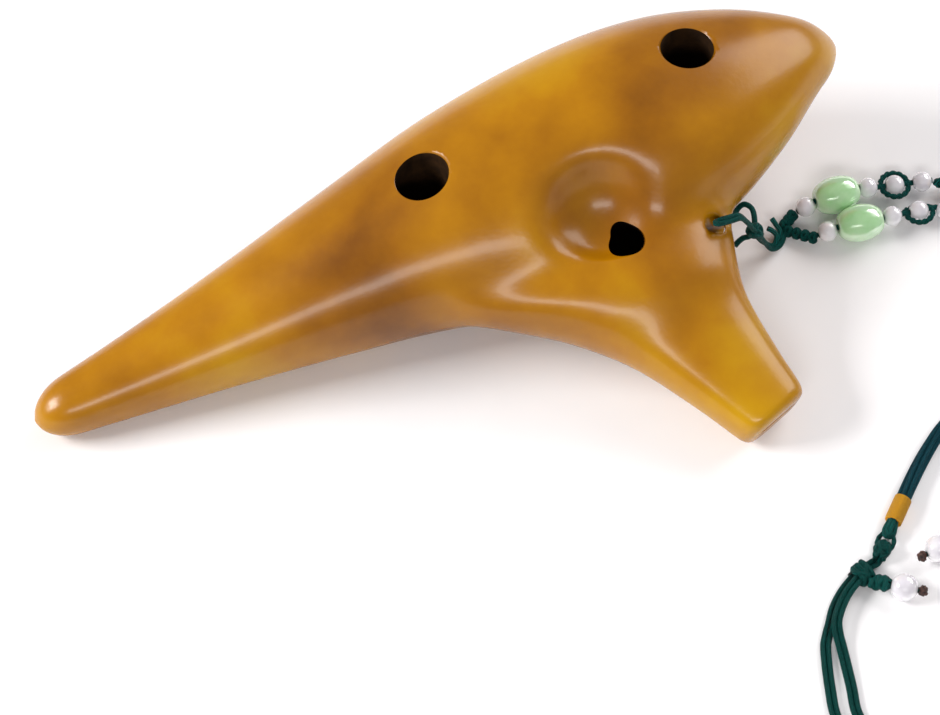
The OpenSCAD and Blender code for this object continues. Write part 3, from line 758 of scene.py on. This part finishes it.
# share of the length, then shares of half the width to each side, and of the height above and below
SECTIONS = [
    (0.00, 0.21, 0.20, 0.24, 0.00), (0.12, 0.36, 0.34, 0.36, 0.00), (0.25, 0.53, 0.50, 0.51, 0.00),
    (0.39, 0.71, 0.72, 0.71, 0.00), (0.53, 0.89, 0.98, 0.89, 0.00), (0.69, 0.98, 1.04, 1.00, 0.00),
    (0.80, 0.91, 0.94, 1.00, 0.07), (0.89, 0.65, 0.67, 0.94, 0.30), (0.955, 0.35, 0.36, 0.85, 0.47),
    (1.00, 0.15, 0.15, 0.70, 0.55)]
# share of the mouthpiece's length, then what it has grown to each side, upwards and downwards
GROWTH = [
    (0.00, 0.0, 0.0, 0.0, 0.0), (0.18, 2.4, 2.8, 0.6, 0.9), (0.36, 5.5, 7.0, 2.4, 2.8),
    (0.48, 9.5, 13.5, 5.0, 4.4), (0.58, 14.0, 23.0, 5.0, 5.0), (0.68, 18.0, 30.0, 3.0, 4.0),
    (1.00, 18.0, 34.0, -3.0, 1.0)]
SQUARENESS = 2.15
MOUTH_W, MOUTH_H, MOUTH_REACH = 15.5, 12.5, 65


def keyed(keys, x, c):
    """Smooth value of column c at x along a list of keys."""
    i = 0
    while i < len(keys) - 2 and x >= keys[i + 1][0]:
        i += 1

    def slope(k):
        a, b = max(k - 1, 0), min(k + 1, len(keys) - 1)
        return (keys[b][c] - keys[a][c]) / (keys[b][0] - keys[a][0])

    h = keys[i + 1][0] - keys[i][0]
    t, p, q = (x - keys[i][0]) / h, keys[i][c], keys[i + 1][c]
    u, v = slope(i) * h, slope(i + 1) * h
    return p + t * (u + t * (3 * (q - p) - 2 * u - v + t * (2 * (p - q) + u + v)))


def power(v, n):
    """A power that keeps the sign."""
    return math.copysign(abs(v) ** n, v)


def clay_point(x, angle, inset=0.0):
    """A point on the body's section at x millimetres from the tail."""
    end = 1.0
    if x < 7:
        end = max(0.12, math.sqrt(max(0, 1 - (1 - x / 7) ** 2)))
    elif x > BODY_L - 5:
        end = max(0.12, math.sqrt(max(0, 1 - (1 - (BODY_L - x) / 5) ** 2)))
    c, s = math.cos(angle), math.sin(angle)
    top_z = BODY_H * keyed(SECTIONS, x / BODY_L, 3)
    low_z = BODY_H * max(0, keyed(SECTIONS, x / BODY_L, 4))
    wide = max(BODY_W / 2 * keyed(SECTIONS, x / BODY_L, 2 if c < 0 else 1) * end - inset, 0.7)
    tall = max((top_z - low_z) / 2 * end - inset, 0.7)
    reach = 1.9 * max(0, 1 - x / 45) ** 2
    y, z = wide * power(c, 2 / SQUARENESS), (top_z + low_z) / 2 + tall * power(s, 2 / SQUARENESS)
    return Vector((x - reach, y, z))


ROOT_AT = Vector((0.62 * BODY_L, 0, 0.57 * BODY_H))
lean = math.radians(19)
pitch = math.atan((ROOT_AT.z - MOUTH_H / 2) / MOUTH_REACH * math.cos(lean))
TIP = Vector((ROOT_AT.x + MOUTH_REACH * math.tan(lean), -MOUTH_REACH, MOUTH_H / 2 * math.cos(pitch) + 0.15))
mouth_axis = (ROOT_AT - TIP).normalized()
mouth_up = mouth_axis.cross(Vector((0, 0, 1))).normalized().cross(mouth_axis)
mouth_len = (ROOT_AT - TIP).length


def mouth_point(d, angle):
    """A point on the mouthpiece's section d millimetres from its tip."""
    s = d / mouth_len
    end = 1 - 0.13 * (1 - d / 1.6) ** 2 if d < 1.6 else 1
    c, sn = math.cos(angle), math.sin(angle)
    wide = (MOUTH_W / 2 + keyed(GROWTH, s, 1 if c > 0 else 2)) * end
    tall = (MOUTH_H / 2 + keyed(GROWTH, s, 3 if sn > 0 else 4)) * end
    q = 2 / (3.2 - 0.9 * min(1, s / 0.5))
    a = lean * max(0, 1 - s / 0.55)
    aside = Vector((math.cos(a), math.sin(a), 0))
    return TIP + mouth_axis * d + aside * power(c, q) * wide + mouth_up * power(sn, q) * tall


print("mouthpiece length", round(mouth_len, 1))

# %% [markdown]
# A grid bent round into a tube and closed at its ends makes each lofted solid. Body and
# mouthpiece are then remeshed together, and smoothing rounds the valley where they meet, as
# a potter's finger does.

# %% Lofted clay
def lofted(name, where, along_n, around_n):
    """A closed solid from where(share along, share around), in millimetres of the body."""
    bm = bmesh.new()
    bmesh.ops.create_grid(bm, x_segments=along_n, y_segments=around_n, size=1.0)
    for v in bm.verts:
        v.co = mm(where((v.co.x + 1) / 2, (v.co.y + 1) / 2), BODY_AT)
    bmesh.ops.remove_doubles(bm, verts=bm.verts, dist=1e-6)
    bmesh.ops.holes_fill(bm, edges=[e for e in bm.edges if e.is_boundary])
    bmesh.ops.recalc_face_normals(bm, faces=bm.faces)
    shape = bpy.data.meshes.new(name)
    bm.to_mesh(shape)
    bm.free()
    made = bpy.data.objects.new(name, shape)
    bpy.context.collection.objects.link(made)
    return made


def crowd(u):
    """A share of the length as millimetres, with sections closer together at both ends."""
    return BODY_L * (0.45 * u + 0.55 * (1 - math.cos(math.pi * u)) / 2)


def applied(piece, kind, **settings):
    """Adds a modifier and applies it."""
    made = piece.modifiers.new(kind.lower(), kind)
    for key, value in settings.items():
        setattr(made, key, value)
    bpy.context.view_layer.objects.active = piece
    bpy.ops.object.modifier_apply(modifier=made.name)


skin = lofted("glazed_clay", lambda u, v: clay_point(crowd(u), 2 * math.pi * v), 90, 96)
mouth = lofted("mouth", lambda u, v: mouth_point(mouth_len * u ** 1.3, 2 * math.pi * v), 60, 72)
skin = joined("glazed_clay", [skin, mouth])
applied(skin, "REMESH", mode="VOXEL", voxel_size=0.9 * MM)
crease = skin.vertex_groups.new(name="crease")
for v in skin.data.vertices:
    p = v.co / MM - BODY_AT
    inner = min(p.x - 66, 150 - p.x, p.y + 38, -6 - p.y) / 12
    crease.add([v.index], min(1, max(0.04, inner)), "REPLACE")
applied(skin, "SMOOTH", factor=0.5, iterations=130, vertex_group="crease")
print("skin", len(skin.data.polygons), "faces")

# %% [markdown]
# Holes are cut while the clay is leather hard. Each tool below is the shape that is removed:
# the chamber, the scooped bowl and the eye's bent bore. Their rims are rounded by a sponge, so
# a second, finer remesh and a little smoothing follow these cuts, and the bowl's far rim is
# worn down further.

# %% Rounded cuts
def tool_object(name, bm):
    """A closed tool with its faces outwards."""
    shape = bpy.data.meshes.new(name)
    bmesh.ops.recalc_face_normals(bm, faces=bm.faces)
    if bm.calc_volume(signed=True) < 0:
        bmesh.ops.reverse_faces(bm, faces=bm.faces)
    bm.to_mesh(shape)
    bm.free()
    made = bpy.data.objects.new(name, shape)
    bpy.context.collection.objects.link(made)
    return made


def drill(name, a, b, radius, wider=0.0):
    """A round tool from a to b, wider at b by the given radius."""
    bm = bmesh.new()
    middle, ahead, flat, tall = frame_of(Vector(a), Vector(b))
    turn_to = Matrix((flat, tall, ahead)).transposed()
    bmesh.ops.create_cone(bm, cap_ends=True, segments=64, radius1=radius, radius2=radius + wider,
                          depth=(Vector(b) - Vector(a)).length)
    for v in bm.verts:
        v.co = mm(middle + turn_to @ v.co, BODY_AT)
    return tool_object(name, bm)


def cut(piece, tool):
    """Takes a tool's shape out of a piece."""
    applied(piece, "BOOLEAN", operation="DIFFERENCE", solver="MANIFOLD", object=tool)
    bpy.data.objects.remove(tool)


def mid_z(x):
    """Half way up the body at x."""
    return (clay_point(x, math.pi / 2).z + clay_point(x, -math.pi / 2).z) / 2


scoop_at = Vector((ROOT_AT.x + 3, -0.47 * BODY_W, 0.585 * BODY_H + 13))
SCOOP_R, SCOOP_WALL_R = 13.0, 16.3


def chamber_at(u, v):
    """The chamber's wall, which leaves clay under the scooped bowl."""
    x = WALL + crowd(u) * (BODY_L - 2 * WALL) / BODY_L
    p = clay_point(x, 2 * math.pi * v, WALL)
    from_scoop = p - scoop_at
    if from_scoop.length < SCOOP_WALL_R:
        return scoop_at + from_scoop * SCOOP_WALL_R / from_scoop.length
    return p


cut(skin, lofted("chamber", chamber_at, 70, 64))
bm = bmesh.new()
bmesh.ops.create_uvsphere(bm, u_segments=64, v_segments=32, radius=SCOOP_R)
near = Vector((-0.43, -0.90, 0))
for v in bm.verts:
    v.co = mm(scoop_at + v.co - near * max(0, v.co.dot(near)) * 0.45, BODY_AT)
cut(skin, tool_object("scoop", bm))
eye_top = Vector((ROOT_AT.x + 26.5, -0.56 * BODY_W, 0.62 * BODY_H))
eye_bend = eye_top + Vector((0.8, 0.2, -6.5))
EYE_R = 1.95
cut(skin, drill("eye", eye_top + Vector((-2.2, -0.9, 6)), eye_bend, EYE_R))
cut(skin, drill("eye", eye_bend + Vector((-0.6, -0.2, 0.9)), eye_top + EYE_THROUGH + eye_run * 10, EYE_R))
applied(skin, "REMESH", mode="VOXEL", voxel_size=0.7 * MM)
applied(skin, "SMOOTH", factor=0.5, iterations=5)
worn = skin.vertex_groups.new(name="worn")
for v in skin.data.vertices:
    away = v.co / MM - BODY_AT - scoop_at
    far_side = min(1, max(0, 0.55 - away.dot(near) / 9 - 0.3 * away.x / 12))
    worn.add([v.index], far_side * min(1, max(0, (24 - away.length) / 6)), "REPLACE")
applied(skin, "SMOOTH", factor=0.5, iterations=260, vertex_group="worn")
print("cut skin", len(skin.data.polygons), "faces")

# %% [markdown]
# The thumb and finger holes, the sounding window and the windway are cut last. A finger hole's
# rim is eased with a wide cone first. The window and the windway stay crisp, as a knife leaves
# them, because a sharp labium is what makes the sound.

# %% Holes, windway and window
THUMB_R, FINGER_R, SUBHOLE_R = 5.5, 4.25, 2.0
ABOVE, BELOW = 1, -1


def eased_hole(x, y, radius, way):
    """A straight hole from above or below into the chamber, its rim eased with a wide cone first."""
    outside, spots, normals = 20 + way * 42, Vector(), Vector()
    for reach in (radius + 1.5, -radius - 1.5):
        _, spot, normal, _ = skin.ray_cast(mm((x + reach, y, outside), BODY_AT), (0, 0, -way))
        spots += spot
        normals += normal
    rim, out = spots / 2 / MM - BODY_AT, normals.normalized()
    rim.x, rim.y = x, y
    cut(skin, drill("ease", rim - out * 1.2, rim + out * 3.0, radius - 0.75, 4.2))
    cut(skin, drill("hole", (x, y, mid_z(x)), (x, y, outside), radius))


for share, y in ((0.48, 2.5), (0.815, 3.5)):
    eased_hole(share * BODY_L, y, THUMB_R, ABOVE)
for share, y in ((0.850, -3), (0.790, 3.5), (0.725, 5), (0.655, 1),
                 (0.545, 1), (0.475, 4.5), (0.405, 3), (0.335, -1.5)):
    eased_hole(share * BODY_L, y, FINGER_R, BELOW)
for share, y in ((0.745, -6.5), (0.455, -4.5)):
    eased_hole(share * BODY_L, y, SUBHOLE_R, BELOW)


def slot_tool(name, size, place):
    """A box of the given sizes, moved to its place."""
    bm = bmesh.new()
    bmesh.ops.create_cube(bm, size=1.0)
    for v in bm.verts:
        v.co = mm(place @ Vector((v.co.x * size[0], v.co.y * size[1], v.co.z * size[2])), BODY_AT)
    return tool_object(name, bm)


mouth_at = Vector((119.0, -22.8, 24.6))
WINDWAY_W, WINDWAY_H = 9.5, 1.3
bm = bmesh.new()
bmesh.ops.create_cone(bm, cap_ends=True, segments=48, radius1=1.0, radius2=1.0, depth=1.0)
for v in bm.verts:
    a = math.atan2(v.co.y, v.co.x) + math.radians(8)
    r = 3.55 + 0.38 * math.cos(3 * a) + 0.95 * math.cos(a)
    v.co = mm(mouth_at + right * v.co.x * r + up * v.co.y * r + back * (v.co.z * 34 - 3), BODY_AT)
cut(skin, tool_object("window", bm))
way_in, way_out = TIP - mouth_axis + mouth_up * 0.4, mouth_at + Vector((0, -0.5, -0.5))
middle, ahead, flat, tall = frame_of(way_in, way_out)
lies = Matrix.Translation(middle) @ Matrix((flat, tall, ahead)).transposed().to_4x4()
cut(skin, slot_tool("windway", (WINDWAY_W, WINDWAY_H, (way_out - way_in).length), lies))
bm = bmesh.new()
bm.from_mesh(skin.data)
for face in bm.faces:
    face.smooth = True
for edge in bm.edges:
    if len(edge.link_faces) == 2 and edge.calc_face_angle(0) > math.radians(50):
        edge.smooth = False
bm.to_mesh(skin.data)
bm.free()
print("finished skin", len(skin.data.polygons), "faces")

# %% [markdown]
# Only the outside is glazed; the chamber stays bare brown clay, dull, and is coloured near black
# as painted shade inside the body. The glaze is honey over that clay: clear amber that pools darker
# in places. The eye sees slow brown clouds, a few small smudges, and a wet gloss with sharp window
# lights. Glaze is glass, so its IOR is 1.5 and its roughness low, and the colour comes from layers of noise.

# %% Glaze
glaze, tree, shader = material("honey glaze on clay")
place = node(tree, "TexCoord").outputs["Object"]
clouds = node(tree, "TexNoise", Vector=place, Scale=17.0, Detail=3.0, Roughness=0.5, Distortion=0.3)
patches = node(tree, "TexNoise", Vector=place, Scale=70.0, Detail=4.0, Roughness=0.6)
mixed = node(tree, "Math", {"operation": "MULTIPLY_ADD"},
             i0=patches.outputs["Fac"], i1=0.22, i2=clouds.outputs["Fac"])
tone = ramp(tree, mixed.outputs[0], [(0.40, "643600"), (0.53, "8C5600"), (0.65, "A66E00"), (0.80, "BC8C00")])
specks = node(tree, "TexVoronoi", Vector=place, Scale=95.0)
rare = node(tree, "TexNoise", Vector=place, Scale=40.0, Detail=1.0)
spot = node(tree, "MapRange", Value=specks.outputs["Distance"], i1=0.0, i2=0.09, i3=0.5, i4=0.0)
often = node(tree, "MapRange", Value=rare.outputs["Fac"], i1=0.66, i2=0.72, i3=0.0, i4=1.0)
smudge = node(tree, "Math", {"operation": "MULTIPLY"}, i0=spot.outputs[0], i1=often.outputs[0])
dark = node(tree, "Mix", {"data_type": "RGBA"}, Factor=smudge.outputs[0], i6=tone, i7=linear("3A1E08"))
tree.links.new(dark.outputs[2], shader.inputs["Base Color"])
shader.inputs["Roughness"].default_value = 0.27
shader.inputs["IOR"].default_value = 1.5
shader.inputs["Specular IOR Level"].default_value = 0.36
shader.inputs["Coat Weight"].default_value = 0.1
shader.inputs["Coat Roughness"].default_value = 0.12
ripple = node(tree, "TexNoise", Vector=place, Scale=1100.0, Detail=3.0)
bumped(tree, shader, ripple.outputs["Fac"], 0.12, 0.0002)
skin.data.materials.clear()
skin.data.materials.append(glaze)
# The bare clay is dull and unglazed; its colour is darkened to near black as painted shade inside the
# chamber.
bare, tree, shader = material("bare clay in painted chamber shade")
dust = node(tree, "TexNoise", Vector=node(tree, "TexCoord").outputs["Object"], Scale=400.0, Detail=4.0)
coloured(tree, shader, dust.outputs["Fac"], [(0.3, "1E1208"), (0.7, "33200E")])
shader.inputs["Roughness"].default_value = 0.95
shader.inputs["Specular IOR Level"].default_value = 0.1
skin.data.materials.append(bare)


def within(p, inset):
    """True where a place lies deeper than inset under the body's outside."""
    if not 4 < p.x < BODY_L - 4:
        return False
    wide = abs(clay_point(p.x, 0 if p.y > 0 else math.pi, inset).y)
    tall = clay_point(p.x, math.pi / 2, inset).z - mid_z(p.x)
    return abs(p.y / wide) ** SQUARENESS + abs((p.z - mid_z(p.x)) / tall) ** SQUARENESS < 1


# Faces deep inside the chamber take the near-black clay colour as painted shade.
for face in skin.data.polygons:
    p = face.center / MM - BODY_AT
    if within(p, 2.8) and (p - scoop_at).length > 14.2:
        face.material_index = 1
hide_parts("back_shell", "front_shell", "mouthpiece")
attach(skin, ROOT)
print("glaze on", skin.name)

# %% [markdown]
# A pale table under soft studio lights: a large window from the upper left, a weaker fill
# from the right, and a white room all round, so that shadows stay faint.

# %% Floor and light
bm = bmesh.new()
bmesh.ops.create_grid(bm, x_segments=1, y_segments=1, size=3.0)
shape = bpy.data.meshes.new("floor")
bm.to_mesh(shape)
bm.free()
floor = bpy.data.objects.new("floor", shape)
bpy.context.collection.objects.link(floor)
paper, tree, shader = material("matt white card")
grain = node(tree, "TexNoise", Vector=node(tree, "TexCoord").outputs["Object"], Scale=30.0, Detail=6.0)
coloured(tree, shader, grain.outputs["Fac"], [(0.3, "F2F1F3"), (0.7, "F8F7F8")])
shader.inputs["Roughness"].default_value = 0.7
shape.materials.append(paper)
world = bpy.data.worlds.new("room")
bpy.context.scene.world = world
world.use_nodes = True
world.node_tree.nodes["Background"].inputs["Color"].default_value = (0.93, 0.93, 0.96, 1)
world.node_tree.nodes["Background"].inputs["Strength"].default_value = 0.3


def softbox(name, place, aim, size, power_w, tint):
    light = bpy.data.lights.new(name, "AREA")
    light.shape, light.size, light.size_y = "RECTANGLE", *size
    light.energy, light.color = power_w, tint
    made = bpy.data.objects.new(name, light)
    made.location = place
    made.rotation_euler = (Vector(aim) - Vector(place)).to_track_quat("-Z", "Y").to_euler()
    bpy.context.collection.objects.link(made)


softbox("window_light", (-1.15, 0.5, 0.85), (0, 0, 0), (0.7, 0.5), 24.0, (1.0, 0.985, 0.97))
softbox("front_light", (-0.45, -1.1, 1.05), (0, 0, 0), (1.0, 0.3), 9.0, (1.0, 0.98, 0.96))
softbox("side_light", (1.25, 0.3, 0.85), (0.05, 0, 0), (1.2, 0.9), 17.0, (1.0, 0.97, 0.96))
bpy.context.scene.view_settings.view_transform = "Standard"
print("lights ready")
